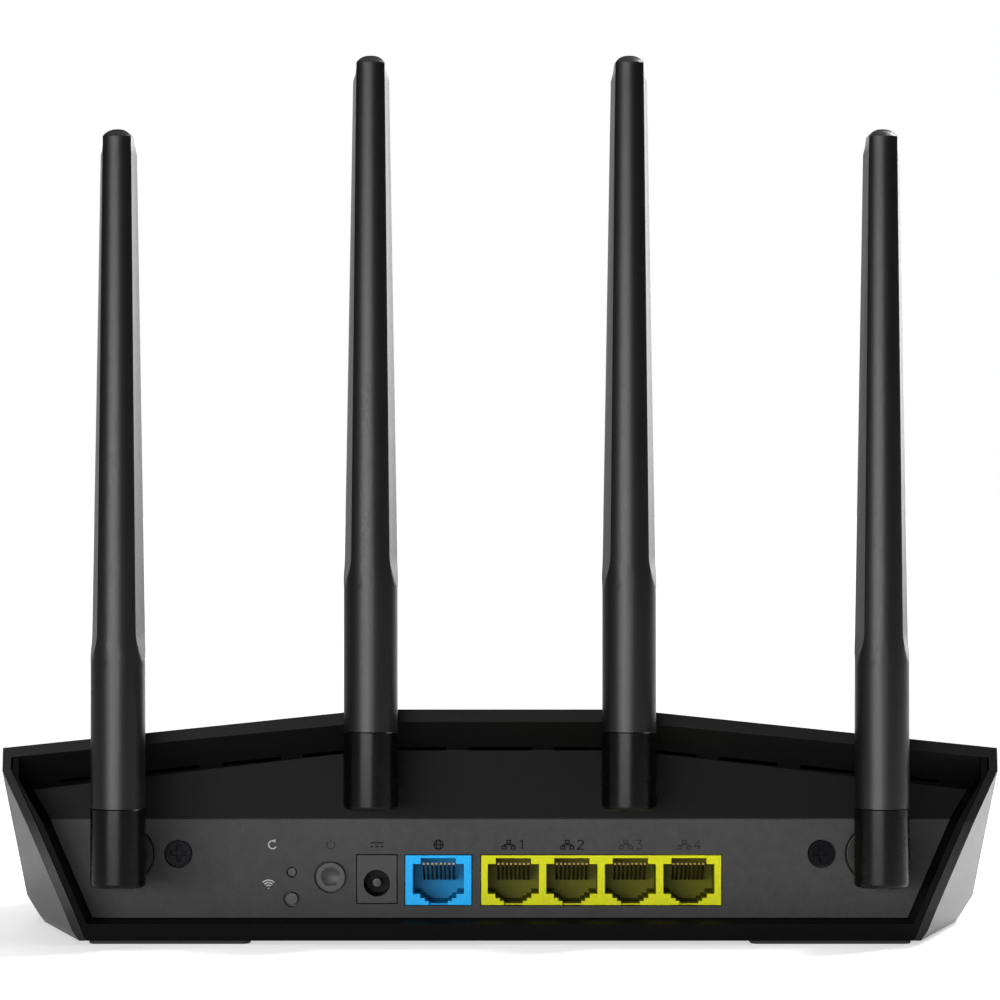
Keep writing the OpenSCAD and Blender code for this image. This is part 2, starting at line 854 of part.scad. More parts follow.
module reset_switch() {
    left = small_button_x - switch_w / 2;
    right = small_button_x + switch_w / 2;
    color("#2a2a2c") {
        box([left, switch_y, board_top_z + 4.2], [right, switch_y + 4, reset_z + 2.5]);
        box([left, switch_y + 4 - FIT, board_top_z], [right, switch_y + 6.5, reset_z + 2.5]);
    }
}

// --- Fasteners -------------------------------------------------------------

// A cross-head screw along +Z, head down.
module screw(head_r, head_h, shank_r, len) {
    difference() {
        union() {
            cylinder(r = head_r, h = head_h);
            cylinder(r = shank_r, h = len);
        }
        for (turn = [0, 90]) rotate([0, 0, turn]) {
            translate([0, 0, head_h * 0.25 - 0.5]) linear_extrude(head_h, center = true) {
                square([head_r * 1.25, head_r * 0.3], center = true);
            }
        }
    }
}

module panel_screws() {
    color("#3c3c3e") for (side = [-1, 1]) {
        translate([side * screw_x, panel_back_y - 0.7, screw_z]) rotate([-90, 0, 0]) {
            screw(screw_head_r, 1.8, pilot_r, 9);
        }
    }
}

module case_screws() {
    color("#3c3c3e") for (p = CASE_POSTS) {
        translate([p[0], rim_y + p[1], belly_z + 0.8]) screw(case_head_r, 1.8, pilot_r, 14);
    }
}

module board_screws() {
    color("#a5a7aa") for (p = BOARD_POSTS) {
        translate([p[0], rim_y + p[1], board_top_z + 1.6]) rotate([180, 0, 0]) {
            screw(2.6, 1.6, pilot_r, 6);
        }
    }
}

// --- Antenna leads ---------------------------------------------------------

function coax_place(i) = [COAX_X[i], rim_y + coax_y, board_top_z];

module coax_sockets() {
    color("#c4a85a") for (i = [0:3]) {
        translate(coax_place(i)) {
            cylinder(r = 1.6, h = 1);
            cylinder(r = 1.1, h = 2.2);
        }
    }
}

// A tube along a smooth path through the given points.
function blend(a, b, c, d, t) =
    0.5 * (2 * b + (c - a) * t + (2 * a - 5 * b + 4 * c - d) * t * t + (3 * b - a - 3 * c + d) * t * t * t);
function path(points, steps) = [
    for (i = [1:len(points) - 3], k = [0:steps - 1])
        blend(points[i - 1], points[i], points[i + 1], points[i + 2], k / steps),
    points[len(points) - 2]
];

module tube(points, r, sides) {
    n = len(points);
    rings = [for (i = [0:n - 1])
        let (
            ahead = unit(points[min(i + 1, n - 1)] - points[max(i - 1, 0)]),
            across = unit(cross(ahead, [0.13, 0.21, 1])),
            up = cross(across, ahead)
        )
        for (k = [0:sides - 1]) points[i] + r * (across * cos(360 * k / sides) + up * sin(360 * k / sides))
    ];
    polyhedron(
        points = rings,
        faces = concat(
            [[for (k = [0:sides - 1]) k]],
            [for (i = [0:n - 2], k = [0:sides - 1])
                [i * sides + k, (i + 1) * sides + k,
                 (i + 1) * sides + (k + 1) % sides, i * sides + (k + 1) % sides]],
            [[for (k = [sides - 1:-1:0]) (n - 1) * sides + k]]
        )
    );
}

module antenna_lead(i) {
    a = ANTENNAS[i];
    y0 = panel_back_y + shaft_len + clip_t + shaft_end + 0.3;
    goal = coax_place(i) + [0, 0, 2.25];
    hub = [a[0], y0, a[1]];
    color("#2f2f31") tube(path([
        hub - [0, 6, 0], hub, hub + [0, 5, 0],
        [(hub[0] + goal[0]) / 2, y0 + 10, (a[1] + 24) / 2],
        goal + [0, 0, 8], goal + [0, 0, 1.5], goal, goal - [0, 0, 8]
    ], 5), lead_r, 8);
}

module lead_outer_left() { antenna_lead(0); }
module lead_inner_left() { antenna_lead(1); }
module lead_inner_right() { antenna_lead(2); }
module lead_outer_right() { antenna_lead(3); }

// --- Antennas --------------------------------------------------------------

// Moves its children, drawn around the tilt pin's middle, to an antenna's place.
module at_antenna(i) {
    a = ANTENNAS[i];
    translate([a[0], rim_y - a[2], a[1]]) children();
}

module swivel(i) {
    reach = recess_d + ANTENNAS[i][2];
    groove_y = reach + panel_t + shaft_len + 0.05;
    end_y = groove_y + clip_t + shaft_end;
    color("#1a1a1b") at_antenna(i) difference() {
        union() {
            rod_y(0, 0, reach, reach + panel_t, ANTENNAS[i][3]);
            rod_y(0, 0, reach, groove_y + FIT, shaft_r);
            rod_y(0, 0, groove_y, end_y, groove_r);
            rod_y(0, 0, groove_y + clip_t + 0.2, end_y, shaft_r);
            box([-tongue_w / 2, 0, -tongue_r], [tongue_w / 2, reach + FIT, tongue_r]);
            rotate([0, 90, 0]) cylinder(r = tongue_r, h = tongue_w, center = true);
        }
        rotate([0, 90, 0]) cylinder(r = tilt_pin_dia / 2 + run_gap, h = tongue_w + 1, center = true);
        rod_y(0, 0, tongue_r + 2, end_y + 1, wire_bore_r);
    }
}

module swivel_clips() {
    y0 = panel_back_y + shaft_len + 0.1;
    color("#c3c5c7") for (a = ANTENNAS) difference() {
        rod_y(a[0], a[1], y0, y0 + clip_t - 0.1, boss_r - 0.4);
        rod_y(a[0], a[1], y0 - 1, y0 + clip_t + 1, groove_r + 0.1);
        box([a[0] - groove_r - 0.1, y0 - 1, a[1]], [a[0] + groove_r + 0.1, y0 + clip_t + 1, a[1] + 20]);
    }
}

pin_len = antenna_dia - 2;

module tilt_pin(i) {
    color("#9c9ea0") at_antenna(i) {
        rotate([0, 90, 0]) cylinder(r = tilt_pin_dia / 2, h = pin_len, center = true);
    }
}

module sleeve(i) {
    slot = tongue_w / 2 + tongue_gap;
    clear_r = tongue_r + tongue_gap;
    top = sleeve_len - pivot_rise;
    color("#111112") at_antenna(i) difference() {
        translate([0, 0, -pivot_rise]) rotate_extrude() polygon([
            [0, 0], [antenna_r - sleeve_bevel, 0], [antenna_r - 0.3, 0.3], [antenna_r, sleeve_bevel],
            [antenna_r, sleeve_len - 0.15], [antenna_r - 0.15, sleeve_len], [0, sleeve_len]
        ]);
        // room for the swivel's tongue, from upright to folded back
        rotate([0, 90, 0]) cylinder(r = clear_r, h = 2 * slot, center = true);
        box([-slot, -clear_r, -pivot_rise - 1], [slot, antenna_r + 1, 0]);
        box([-slot, 0, -1], [slot, antenna_r + 1, clear_r]);
        rotate([0, 90, 0]) cylinder(r = tilt_pin_dia / 2, h = pin_len, center = true);
        translate([0, 0, top - spigot_len - 0.2]) cylinder(r = spigot_r, h = spigot_len + 1);
        cylinder(r = wire_bore_r, h = top);
    }
}

// The mast is a rod with three flats: one on each side, leaning towards the rear, and one at
// the front. It is lofted through rings, and a section is [radius of the rod, distance of the
// side flats, their lean, distance of the front flat]. On the round part the flats only graze.
mast_gap = 0.05;
graze = 0.02;
round_r = antenna_r - mast_gap;
blade_foot_r = round_r - 0.08;
blade_tip_r = 4.7;
blade_foot_w = antenna_dia - blade_step;
rear_foot_w = 9;
rear_tip_w = 6.7;
front_foot = 5.1;
front_tip = 3.5;
dome_r = 3.85;
dome_h = 1.9;
blade_shoulder = 5.9;
rear_steps = 9;
side_steps = 4;

function mix(a, b, t) = a + (b - a) * t;
function blade_section(r, rear_w, width, front) =
    let (rear_turn = acos(rear_w / 2 / r), side_turn = acos(width / 2 / r))
    [r, r * cos((rear_turn + side_turn) / 2), (rear_turn - side_turn) / 2, front];
foot_section = blade_section(blade_foot_r, rear_foot_w, blade_foot_w, front_foot);
round_section = [round_r, round_r - graze, foot_section[2], round_r - graze];
tip_section = blade_section(blade_tip_r, rear_tip_w, blade_tip_w, front_tip);
top_section = blade_section(blade_tip_r, rear_tip_w - 0.1, rear_tip_w + 0.3, front_tip - 0.1);

// The ring of a section at height z, scaled about the mast's axis.
function ring(section, z, scale_by = 1) =
    let (
        r = section[0] * scale_by,
        half = acos(section[1] / section[0]),
        rear_edge = -section[2] - half,
        side_edge = -section[2] + half,
        front_edge = asin(section[3] / section[0]),
        turns = concat(
            [for (k = [0:rear_steps]) mix(-90, rear_edge, k / rear_steps)],
            [for (k = [0:side_steps]) mix(side_edge, front_edge, k / side_steps)]),
        right = [for (t = turns) [r * cos(t), r * sin(t), z]]
    )
    concat(right, [for (i = [len(right) - 1:-1:1]) flip_x(right[i])]);

module loft(rings) {
    n = len(rings);
    sides = len(rings[0]);
    polyhedron(
        points = [for (r = rings, p = r) p],
        faces = concat(
            [[for (k = [0:sides - 1]) k]],
            [for (i = [0:n - 2], k = [0:sides - 1])
                [i * sides + k, (i + 1) * sides + k,
                 (i + 1) * sides + (k + 1) % sides, i * sides + (k + 1) % sides]],
            [[for (k = [sides - 1:-1:0]) (n - 1) * sides + k]]
        )
    );
}

// Half the dome's width, at a depth under its top.
function dome_half(depth) = sqrt(dome_r * dome_r - (dome_r - depth) * (dome_r - depth));

module mast(i) {
    low = sleeve_len - pivot_rise;
    tip = antenna_len - pivot_rise;
    round_top = round_len - pivot_rise;
    blade_low = round_top + blend_len;
    shoulder = tip - blade_shoulder;
    color("#1c1c1d") at_antenna(i) difference() {
        union() {
            translate([0, 0, low - spigot_len]) cylinder(r = spigot_r, h = spigot_len + 2);
            loft(concat(
                [ring(round_section, low + 0.1)],
                [for (t = [0:0.125:1])
                    ring(mix(round_section, foot_section, (1 - cos(180 * t)) / 2),
                         mix(round_top, blade_low, t))],
                [for (t = [0:0.25:1])
                    ring(mix(tip_section, top_section, sin(90 * t)), mix(shoulder, tip - dome_h, t))],
                [for (depth = [1.35, 0.85, 0.45, 0.15])
                    ring(top_section, tip - depth, dome_half(depth) / dome_half(dome_h))],
                [ring(top_section, tip, 0.05)]
            ));
        }
        translate([0, 0, low - spigot_len - 1]) cylinder(r = aerial_bore_r, h = aerial_bore_len);
    }
}

// The radiator: a printed strip that stands in the mast's bore.
module aerial(i) {
    low = sleeve_len - pivot_rise;
    color("#b98b4e") at_antenna(i) {
        translate([0, 0, low - spigot_len + 2]) linear_extrude(aerial_bore_len - 8) {
            square([3.6, 0.8], center = true);
        }
    }
}

module swivel_outer_left() { swivel(0); }
module swivel_inner_left() { swivel(1); }
module swivel_inner_right() { swivel(2); }
module swivel_outer_right() { swivel(3); }
module pin_outer_left() { tilt_pin(0); }
module pin_inner_left() { tilt_pin(1); }
module pin_inner_right() { tilt_pin(2); }
module pin_outer_right() { tilt_pin(3); }
module sleeve_outer_left() { sleeve(0); }
module sleeve_inner_left() { sleeve(1); }
module sleeve_inner_right() { sleeve(2); }
module sleeve_outer_right() { sleeve(3); }
module mast_outer_left() { mast(0); }
module mast_inner_left() { mast(1); }
module mast_inner_right() { mast(2); }
module mast_outer_right() { mast(3); }
module aerial_outer_left() { aerial(0); }
module aerial_inner_left() { aerial(1); }
module aerial_inner_right() { aerial(2); }
module aerial_outer_right() { aerial(3); }

// --- Drawing ---------------------------------------------------------------

top_cover();
bottom_case();
rear_panel();
front_lens();
light_guide();
status_leds();
main_board();
wan_port();
wan_contacts();
lan_ports();
lan_contacts();
power_inlet();
inlet_pin();
power_switch();
pairing_switch();
reset_switch();
heat_sink();
radio_shields();
processor();
memory_chips();
radio_chips();
thermal_pads();
line_transformers();
capacitors();
inductors();
coax_sockets();
lead_outer_left();
lead_inner_left();
lead_inner_right();
lead_outer_right();
panel_screws();
case_screws();
board_screws();
rubber_feet();
rating_label();
swivel_clips();
power_button();
pairing_button();
reset_button();
swivel_outer_left();
swivel_inner_left();
swivel_inner_right();
swivel_outer_right();
pin_outer_left();
pin_inner_left();
pin_inner_right();
pin_outer_right();
sleeve_outer_left();
sleeve_inner_left();
sleeve_inner_right();
sleeve_outer_right();
mast_outer_left();
mast_inner_left();
mast_inner_right();
mast_outer_right();
aerial_outer_left();
aerial_inner_left();
aerial_inner_right();
aerial_outer_right();
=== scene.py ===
# The looks of a wireless router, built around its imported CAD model.
import json
import math

import bmesh
import bpy
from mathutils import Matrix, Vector

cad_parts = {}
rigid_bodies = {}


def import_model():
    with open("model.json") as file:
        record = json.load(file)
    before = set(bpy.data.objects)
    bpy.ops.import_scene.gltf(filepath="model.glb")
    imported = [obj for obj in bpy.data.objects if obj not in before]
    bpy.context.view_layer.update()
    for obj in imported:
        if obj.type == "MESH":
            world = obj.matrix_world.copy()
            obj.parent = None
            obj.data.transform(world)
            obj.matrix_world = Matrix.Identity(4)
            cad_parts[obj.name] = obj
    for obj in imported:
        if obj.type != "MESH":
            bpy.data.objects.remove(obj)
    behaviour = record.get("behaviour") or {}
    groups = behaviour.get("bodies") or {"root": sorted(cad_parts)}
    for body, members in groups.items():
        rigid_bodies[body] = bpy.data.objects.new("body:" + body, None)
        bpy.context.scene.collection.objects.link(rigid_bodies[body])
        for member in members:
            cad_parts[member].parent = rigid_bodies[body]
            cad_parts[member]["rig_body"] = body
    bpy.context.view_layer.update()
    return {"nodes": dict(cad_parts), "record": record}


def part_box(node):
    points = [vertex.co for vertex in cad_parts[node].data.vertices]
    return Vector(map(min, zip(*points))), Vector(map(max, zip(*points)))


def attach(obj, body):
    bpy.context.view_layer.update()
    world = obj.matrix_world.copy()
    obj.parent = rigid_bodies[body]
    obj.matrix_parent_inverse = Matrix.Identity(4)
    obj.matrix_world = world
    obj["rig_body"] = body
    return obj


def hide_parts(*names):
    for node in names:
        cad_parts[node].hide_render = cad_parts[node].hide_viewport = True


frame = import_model()
nodes = frame["nodes"]
mm = 0.001

# --- Places, from the frame --------------------------------------------------

rim_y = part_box("bottom_case")[0].y      # the foremost edge, round the connector recess
panel_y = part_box("rear_panel")[0].y     # the face that holds the connectors
crease_z = 28.8 * mm                    # where the panel's upper field begins, which is painted darker as shade
zone_top = 60 * mm                      # just over the casing, the top of the tone scales
ANTENNAS = ("outer_left", "inner_left", "inner_right", "outer_right")


# --- Node materials ----------------------------------------------------------

GRAIN_SPAN = (0.3, 0.7)     # the part of a noise's range that gloss follows


def new_material(name):
    material = bpy.data.materials.new(name)
    material.use_nodes = True
    tree = material.node_tree
    tree.nodes.clear()
    shader = tree.nodes.new("ShaderNodeBsdfPrincipled")
    output = tree.nodes.new("ShaderNodeOutputMaterial")
    tree.links.new(shader.outputs[0], output.inputs[0])
    return material, tree, shader


def position(tree):
    """The object's own coordinates: the part's frame, in metres, at rest."""
    return tree.nodes.new("ShaderNodeTexCoord").outputs["Object"]


def noise(tree, scale, detail):
    """Noise with scale cells to a metre, as a value about 0.5."""
    texture = tree.nodes.new("ShaderNodeTexNoise")
    texture.inputs["Scale"].default_value = scale
    texture.inputs["Detail"].default_value = detail
    texture.inputs["Roughness"].default_value = 0.5
    tree.links.new(position(tree), texture.inputs["Vector"])
    return texture.outputs["Fac"]


def ramp(tree, value, stops):
    """Maps a 0 to 1 value through colour stops: (place, (r, g, b) or grey)."""
    node = tree.nodes.new("ShaderNodeValToRGB")
    tree.links.new(value, node.inputs[0])
    elements = node.color_ramp.elements
    while len(elements) < len(stops):
        elements.new(0.5)
    for element, (place, colour) in zip(elements, stops):
        element.position = place
        rgb = colour if isinstance(colour, tuple) else (colour, colour, colour)
        element.color = (*rgb, 1)
    return node.outputs[0]


def remap(tree, value, low, high, to_low, to_high):
    """Carries low..high to to_low..to_high, and holds it at those ends."""
    node = tree.nodes.new("ShaderNodeMapRange")
    tree.links.new(value, node.inputs["Value"])
    limits = {"From Min": low, "From Max": high, "To Min": to_low, "To Max": to_high}
    for name, number in limits.items():
        node.inputs[name].default_value = number
    return node.outputs[0]


def split_axes(tree, vector):
    """The X, Y and Z outputs of a vector."""
    node = tree.nodes.new("ShaderNodeSeparateXYZ")
    tree.links.new(vector, node.inputs[0])
    return node.outputs


def scale_colour(tree, colour, factor):
    node = tree.nodes.new("ShaderNodeVectorMath")
    node.operation = "SCALE"
    tree.links.new(colour, node.inputs[0])
    tree.links.new(factor, node.inputs["Scale"])
    return node.outputs[0]


def math_node(tree, operation, a, b):
    node = tree.nodes.new("ShaderNodeMath")
    node.operation = operation
    for socket, value in zip(node.inputs, (a, b)):
        if isinstance(value, (int, float)):
            socket.default_value = value
        else:
            tree.links.new(value, socket)
    return node.outputs[0]


def mix_colour(tree, factor, a, b):
    node = tree.nodes.new("ShaderNodeMix")
    node.data_type = "RGBA"
    tree.links.new(factor, node.inputs["Factor"])
    for socket, value in ((node.inputs[6], a), (node.inputs[7], b)):
        if isinstance(value, tuple):
            socket.default_value = (*value, 1)
        else:
            tree.links.new(value, socket)
    return node.outputs[2]


def bump(tree, shader, height, strength, distance):
    """Grain in the shading, as high as distance at full strength."""
    node = tree.nodes.new("ShaderNodeBump")
    node.inputs["Strength"].default_value = strength
    node.inputs["Distance"].default_value = distance
    tree.links.new(height, node.inputs["Height"])
    tree.links.new(node.outputs[0], shader.inputs["Normal"])


def grey(value):
    """A grey with a trace of blue, as black plastics have."""
    return (value, value, value * 1.02)


def moulded(name, dark, light, roughness=(0.42, 0.55), grain=2600, depth=0.06 * mm, level=0.5):
    """Fine spark-eroded plastic: a sharp small grain over a soft broad variation."""
    material, tree, shader = new_material(name)
    fine = noise(tree, grain, 2.0)
    broad = noise(tree, 45, 3.0)
    sharp_share = math_node(tree, "MULTIPLY", fine, 0.7)
    broad_share = math_node(tree, "MULTIPLY", broad, 0.3)
    speck = math_node(tree, "ADD", sharp_share, broad_share)
    tree.links.new(ramp(tree, speck, [(0.35, dark), (0.65, light)]), shader.inputs["Base Color"])
    tree.links.new(remap(tree, fine, *GRAIN_SPAN, *roughness), shader.inputs["Roughness"])
    shader.inputs["Specular IOR Level"].default_value = level
    bump(tree, shader, fine, 0.35, depth)
    return material


def shaded_socket_plastic(name, dark, light, cavity_shade):
    """Smooth plastic with painted shade: a little way into its cavities its tone falls to cavity_shade of
    itself, for the shade inside them.
    """
    material, tree, shader = new_material(name)
    fine = noise(tree, 1500, 2.0)
    mouth_y = panel_y + 0.5 * mm
    deep_y = panel_y + 5 * mm
    tone = ramp(tree, fine, [(0.35, dark), (0.65, light)])
    # Painted shade: the tone falls with depth into the cavities.
    depth_shade = remap(tree, split_axes(tree, position(tree))["Y"], mouth_y, deep_y, 1.0, cavity_shade)
    tree.links.new(scale_colour(tree, tone, depth_shade), shader.inputs["Base Color"])
    tree.links.new(remap(tree, fine, *GRAIN_SPAN, 0.34, 0.42), shader.inputs["Roughness"])
    shader.inputs["Specular IOR Level"].default_value = 0.05
    bump(tree, shader, fine, 0.12, 0.03 * mm)
    return material


def metal(name, colour, roughness):
    """Metal with fine scratches that vary its tone and gloss."""
    material, tree, shader = new_material(name)
    scratch = noise(tree, 900, 4.0)
    darker = tuple(0.75 * c for c in colour)
    gloss = remap(tree, scratch, *GRAIN_SPAN, roughness * 0.8, roughness * 1.3)
    tree.links.new(ramp(tree, scratch, [(0.3, darker), (0.7, colour)]), shader.inputs["Base Color"])
    tree.links.new(gloss, shader.inputs["Roughness"])
    shader.inputs["Metallic"].default_value = 1.0
    bump(tree, shader, scratch, 0.1, 0.03 * mm)
    return material


def glossy(name, colour, roughness, level=0.5):
    """Polished plastic, with faint smears in its gloss."""
    material, tree, shader = new_material(name)
    smear = noise(tree, 160, 4.0)
    lighter = tuple(min(1.0, 1.15 * c) for c in colour)
    tree.links.new(ramp(tree, smear, [(0.35, colour), (0.7, lighter)]), shader.inputs["Base Color"])
    tree.links.new(remap(tree, smear, *GRAIN_SPAN, roughness, roughness + 0.04), shader.inputs["Roughness"])
    shader.inputs["Specular IOR Level"].default_value = level
    bump(tree, shader, noise(tree, 900, 2.0), 0.05, 0.02 * mm)
    return material


def painted_light_zones(name, stops, roughness, level, band=None):
    """Moulded plastic in greys that change with height: (z, grey) stops. A fall in grey with height is
    painted shade.

    A band, (y, grey), gives the plastic in front of y a grey of its own: painted light, a lighter grey for
    a face that the light falls on.
    """
    material, tree, shader = new_material(name)
    axes = split_axes(tree, position(tree))
    height = remap(tree, axes["Z"], 0.0, zone_top, 0.0, 1.0)
    tone = ramp(tree, height, [(z / zone_top, value) for z, value in stops])
    if band:
        band_y, lit_band_grey = band
        # Painted light: the plastic in front of band_y takes the band's own grey, lighter for the face that
        # the light falls on.
        front = math_node(tree, "LESS_THAN", axes["Y"], band_y)
        tone = mix_colour(tree, front, tone, grey(lit_band_grey))
    fine = noise(tree, 2600, 2.0)
    broad = noise(tree, 38, 3.0)
    mottle = noise(tree, 420, 3.0)
    grain = math_node(tree, "ADD", fine, math_node(tree, "MULTIPLY", broad, 0.4))
    grain = math_node(tree, "ADD", grain, math_node(tree, "MULTIPLY", mottle, 0.5))
    shade = remap(tree, grain, 0.70, 1.20, 0.80, 1.20)
    tree.links.new(scale_colour(tree, tone, shade), shader.inputs["Base Color"])
    tree.links.new(remap(tree, fine, *GRAIN_SPAN, *roughness), shader.inputs["Roughness"])
    shader.inputs["Specular IOR Level"].default_value = level
    bump(tree, shader, fine, 0.3, 0.05 * mm)
    return material


# Painted light: the rim's front band is coloured a lighter grey than the rest of the cover, for the light
# that falls on that face.
lit_rim_band_y = rim_y + 0.1 * mm
crease_blur = 0.08 * mm
COVER_TONES = [(0.0, 0.002), (59 * mm, 0.002)]
# Painted shade: the panel's grey drops above the crease and again near its top, for the shade its upper
# field lies in under the casing's top.
PANEL_TONES_WITH_SHADE = [
    (0.0, 0.033), (crease_z - crease_blur, 0.036),
    (crease_z + crease_blur, 0.0025), (59 * mm, 0.0015),
]
MATERIALS = {
    # The cover's band grey, 0.008, is painted light on the rim's front face.
    "cover": painted_light_zones("cover_plastic", COVER_TONES, (0.38, 0.46), 0.14, band=(lit_rim_band_y, 0.008)),
    "case": moulded("case_plastic", grey(0.001), grey(0.0015), level=0.03),
    # The panel's tones hold painted shade on its upper field.
    "panel": painted_light_zones("panel_plastic", PANEL_TONES_WITH_SHADE, (0.42, 0.55), 0.05),
    "lens": glossy("lens_plastic", (0.62, 0.66, 0.70), 0.25),
    "guide": glossy("guide_plastic", (0.80, 0.82, 0.84), 0.2),
    "led": glossy("led_body", (0.80, 0.76, 0.50), 0.3),
    "board": glossy("solder_mask", (0.010, 0.085, 0.030), 0.3),
    # The last figure of each socket plastic is its painted shade: how much of its tone is left deep in its
    # cavities.
    "wan": shaded_socket_plastic("blue_plastic", (0.008, 0.275, 0.60), (0.012, 0.30, 0.65), 0.6),
    "lan": shaded_socket_plastic("yellow_plastic", (0.41, 0.42, 0.004), (0.45, 0.46, 0.006), 0.19),
    # Gold in tint, with painted shade: it is far darker than gold, for the shade the contacts lie in inside
    # the sockets.
    "contact": metal("gold_plate_in_shade", (0.18, 0.12, 0.045), 0.42),
    "inlet": shaded_socket_plastic("inlet_plastic", grey(0.036), grey(0.043), 0.05),
    # Painted shade: the nickel is near black, far darker than nickel, for the shade the inlet's pin lies in
    # deep in its hole.
    "nickel": metal("nickel_plate_in_shade", (0.030, 0.030, 0.031), 0.16),
    "switch": moulded("switch_plastic", grey(0.010), grey(0.018)),
    "heatsink": metal("fin_aluminium", (0.62, 0.64, 0.66), 0.35),
    "shield": metal("tinned_sheet", (0.58, 0.59, 0.60), 0.3),
    "chip": moulded("chip_epoxy", grey(0.010), grey(0.020), (0.4, 0.5), 1500),
    "pad": moulded("thermal_pad", (0.18, 0.32, 0.42), (0.22, 0.38, 0.48), (0.6, 0.7), 700),
    "capacitor": glossy("capacitor_sleeve", (0.030, 0.045, 0.075), 0.25),
    "ferrite": moulded("ferrite", grey(0.035), grey(0.06), (0.5, 0.6), 900),
    "lead": glossy("lead_jacket", grey(0.012), 0.35),
    "screw": metal("blackened_steel", (0.004, 0.004, 0.0045), 0.35),
    "boardscrew": metal("plain_steel", (0.50, 0.50, 0.52), 0.3),
    "foot": moulded("foot_rubber", grey(0.010), grey(0.018), (0.65, 0.8), 1200, depth=0.1 * mm, level=0.2),
    "label": moulded("label_film", grey(0.42), grey(0.48), (0.5, 0.6), 800, depth=0.02 * mm),
    "clip": metal("spring_steel", (0.55, 0.55, 0.57), 0.25),
    "button": moulded("button_plastic", grey(0.025), grey(0.032), (0.34, 0.44), 2200, level=0.17),
    "swivel": moulded("swivel_plastic", grey(0.007), grey(0.010), (0.35, 0.45), 2200, level=0.15),
    "pin": metal("pin_steel", (0.50, 0.50, 0.52), 0.25),
    "sleeve": glossy("sleeve_plastic", grey(0.001), 0.25, level=0.11),
    "mast": moulded("mast_plastic", grey(0.0015), grey(0.0025), (0.36, 0.44), 2200, level=0.28),
    "aerial": metal("copper_strip", (0.62, 0.36, 0.18), 0.3),
}


def ink(name, dark, light, level=0.5):
    """Matt printing ink."""
    return moulded(name, grey(dark), grey(light), (0.5, 0.6), 1500, depth=0.01 * mm, level=level)


INK_PALE = ink("pale_ink", 0.26, 0.30)
INK_FAINT = ink("faint_ink", 0.012, 0.016, level=0.05)
INK_BLACK = ink("black_ink", 0.001, 0.002, level=0.03)

slot_of = {row["node"]: row["material_slot"] for row in frame["record"]["subparts"]}
for name, node in nodes.items():
    node.data.materials.clear()
    node.data.materials.append(MATERIALS[slot_of[name]])


# --- Pieces that stand for CAD nodes -----------------------------------------

def add_object(name, mesh, material, body):
    piece = bpy.data.objects.new(name, mesh)
    bpy.context.scene.collection.objects.link(piece)
    piece.data.materials.clear()
    piece.data.materials.append(material)
    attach(piece, body)
    return piece


def body_of(node):
    return nodes[node]["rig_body"]


WELD = 0.001 * mm           # vertices closer than this are one
FLAT = math.radians(0.6)    # faces that meet at less than this are one


def shade_by_angle(mesh, angle):
    """Smooth shading, with a hard edge where two faces meet at more than the angle."""
    for polygon in mesh.polygons:
        polygon.use_smooth = True
    form = bmesh.new()
    form.from_mesh(mesh)
    for edge in form.edges:
        edge.smooth = edge.is_manifold and edge.calc_face_angle(math.pi) < angle
    form.to_mesh(mesh)
    form.free()


def apply_modifiers(piece):
    bpy.context.view_layer.update()
    done = bpy.data.meshes.new_from_object(piece.evaluated_get(bpy.context.evaluated_depsgraph_get()))
    piece.modifiers.clear()
    piece.data = done


def finished(node, width, bevel_from=24, smooth_below=28):
    """A copy of a CAD node with its hard edges rounded. It stands for the node.

    Edges sharper than bevel_from degrees are rounded, over width millimetres.
    Shading is smooth across edges under smooth_below degrees.
    """
    mesh = nodes[node].data.copy()
    form = bmesh.new()
    form.from_mesh(mesh)
    bmesh.ops.remove_doubles(form, verts=form.verts, dist=WELD)
    bmesh.ops.dissolve_limit(form, angle_limit=FLAT, verts=form.verts, edges=form.edges)
    form.to_mesh(mesh)
    form.free()
    piece = add_object(node + "_finished", mesh, MATERIALS[slot_of[node]], body_of(node))
    edge = piece.modifiers.new("edge", "BEVEL")
    edge.width = width * mm
    edge.segments = 2
    edge.limit_method = "ANGLE"
    edge.angle_limit = math.radians(bevel_from)
    edge.use_clamp_overlap = True
    apply_modifiers(piece)
    shade_by_angle(piece.data, math.radians(smooth_below))
    normals = piece.modifiers.new("normals", "WEIGHTED_NORMAL")
    normals.keep_sharp = True
    apply_modifiers(piece)
    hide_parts(node)
    return piece


EDGE_WIDTHS = {
    "top_cover": 0.25,
    "bottom_case": 0.2,
    "rear_panel": 0.12,
    "lan_ports": 0.1,
    "wan_port": 0.1,
    "power_inlet": 0.12,
    "inlet_pin": 0.2,
    "power_button": 0.2,
    "pairing_button": 0.15,
    "reset_button": 0.15,
    "panel_screws": 0.1,
    "case_screws": 0.1,
    "rubber_feet": 0.15,
    "front_lens": 0.1,
}
for name, width in EDGE_WIDTHS.items():
    finished(name, width)
for antenna in ANTENNAS:
    finished("swivel_" + antenna, 0.3)
    finished("sleeve_" + antenna, 0.25)
    finished("mast_" + antenna, 0.05, bevel_from=40, smooth_below=22)


# --- Pictograms printed on the panel -----------------------------------------

INK_THICKNESS = 0.02        # in millimetres, like every length of the pictograms
STROKE_WIDTH = 0.26


def arc(centre, radius, start, end, steps=20, squash=1.0):
    """Points along an arc between two angles in degrees. Squash narrows it."""
    turn = [math.radians(start + (end - start) * i / steps) for i in range(steps + 1)]
    return [(centre[0] + radius * squash * math.cos(t), centre[1] + radius * math.sin(t)) for t in turn]


